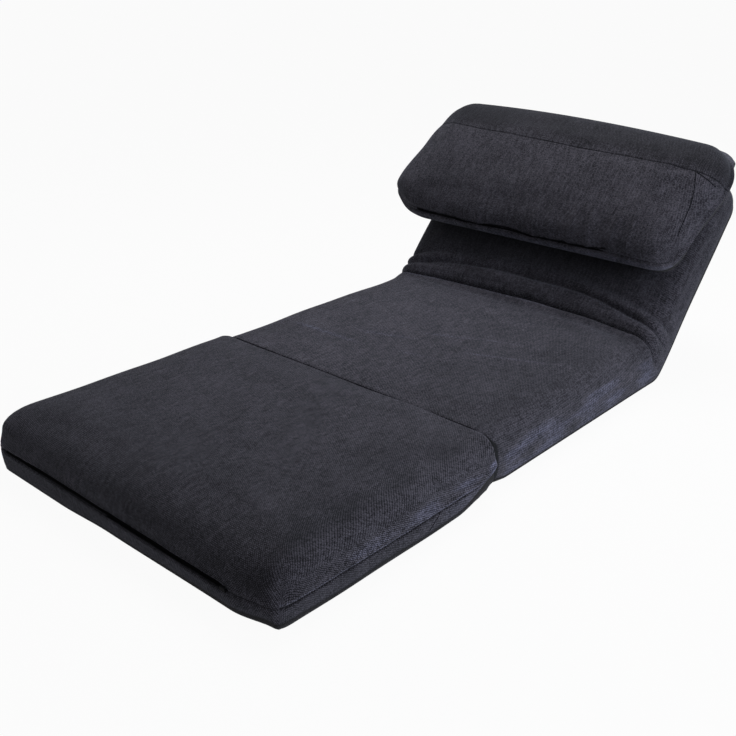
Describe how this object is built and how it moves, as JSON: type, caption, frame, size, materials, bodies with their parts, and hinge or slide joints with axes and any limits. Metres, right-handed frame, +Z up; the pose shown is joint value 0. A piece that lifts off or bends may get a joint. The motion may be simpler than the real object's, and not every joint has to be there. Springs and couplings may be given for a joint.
{
  "type": "chair bed",
  "caption": "Folding floor chair bed: a foot block that folds onto the seat, a seat block, a ratchet reclining back and a flip-over head pillow in zipped woven covers.",
  "frame": {"origin": "on the floor under the middle of the seat block, midway between the foot hinge and the back's ratchet axis", "axes": "+X across the width, +Y towards the head end, +Z up"},
  "size_m": [0.7602, 1.4083, 0.4764],
  "materials": {
    "cover_cloth": "matte",
    "base_cloth": "matte",
    "foam": "matte",
    "filling": "matte",
    "zip_nylon": "satin",
    "zip_metal": "satin",
    "tube_steel": "satin",
    "plated_steel": "satin"
  },
  "bodies": {
    "seat": {"seat_cover": "cover_cloth", "seat_underside": "base_cloth", "seat_upper_foam": "foam", "seat_lower_foam": "foam", "seat_frame": "tube_steel", "seat_crossbar": "tube_steel", "hinge_welt": "cover_cloth", "crease_cover": "cover_cloth", "seat_arm_right": "plated_steel", "seat_arm_left": "plated_steel", "ratchet_plate_right": "plated_steel", "ratchet_plate_left": "plated_steel", "ratchet_pivot_right": "plated_steel", "ratchet_pivot_left": "plated_steel", "pawl_pin_right": "plated_steel", "pawl_pin_left": "plated_steel", "spring_post_right": "plated_steel", "spring_post_left": "plated_steel", "pawl_spring_right": "plated_steel", "pawl_spring_left": "plated_steel", "seat_arm_rivet_a_right": "plated_steel", "seat_arm_rivet_b_right": "plated_steel", "seat_arm_rivet_a_left": "plated_steel", "seat_arm_rivet_b_left": "plated_steel"},
    "foot": {"foot_cover": "cover_cloth", "foot_base_cover": "cover_cloth", "foot_foam": "foam", "foot_zip_chain": "zip_nylon"},
    "foot_slider": {"foot_zip_slider": "zip_metal"},
    "back": {"back_cover": "cover_cloth", "back_rear_panel": "base_cloth", "back_front_foam": "foam", "back_rear_foam": "foam", "back_frame": "tube_steel", "back_crossbar": "tube_steel", "ratchet_sector_right": "plated_steel", "ratchet_sector_left": "plated_steel", "back_arm_rivet_a_right": "plated_steel", "back_arm_rivet_b_right": "plated_steel", "back_arm_rivet_a_left": "plated_steel", "back_arm_rivet_b_left": "plated_steel", "pillow_flap": "cover_cloth"},
    "pawl_r": {"pawl_right": "plated_steel"},
    "pawl_l": {"pawl_left": "plated_steel"},
    "pillow": {"pillow_cover": "cover_cloth", "pillow_base_cover": "cover_cloth", "pillow_filling": "filling", "pillow_zip_chain": "zip_nylon"},
    "pillow_slider": {"pillow_zip_slider": "zip_metal"}
  },
  "joints": [
    {"name": "back_recline", "type": "hinge", "parent": "seat", "child": "back", "pos_m": [0, 0.29, 0.059], "axis": [1, 0, 0], "range_deg": [-46.5, 31], "deforming": ["crease_cover"]},
    {"name": "foot_flip", "type": "hinge", "parent": "seat", "child": "foot", "pos_m": [0, -0.29, 0.118], "axis": [-1, 0, 0], "range_deg": [0, 180]},
    {"name": "pillow_flip", "type": "hinge", "parent": "back", "child": "pillow", "pos_m": [-0.026, 0.56113, 0.43173], "axis": [-1, 0, 0], "range_deg": [0, 180]},
    {"name": "foot_zip", "type": "slide", "parent": "foot", "child": "foot_slider", "axis": [1, 0, 0], "range_m": [-0.552, 0]},
    {"name": "pillow_zip", "type": "slide", "parent": "pillow", "child": "pillow_slider", "axis": [1, 0, 0], "range_m": [-0.494, 0]},
    {"name": "pawl_right_drop", "type": "hinge", "parent": "seat", "child": "pawl_r", "pos_m": [0.2883, 0.25915, 0.07109], "axis": [1, 0, 0], "range_deg": [0, 9.7]},
    {"name": "pawl_left_drop", "type": "hinge", "parent": "seat", "child": "pawl_l", "pos_m": [-0.2883, 0.25915, 0.07109], "axis": [1, 0, 0], "range_deg": [0, 9.7]}
  ]
}
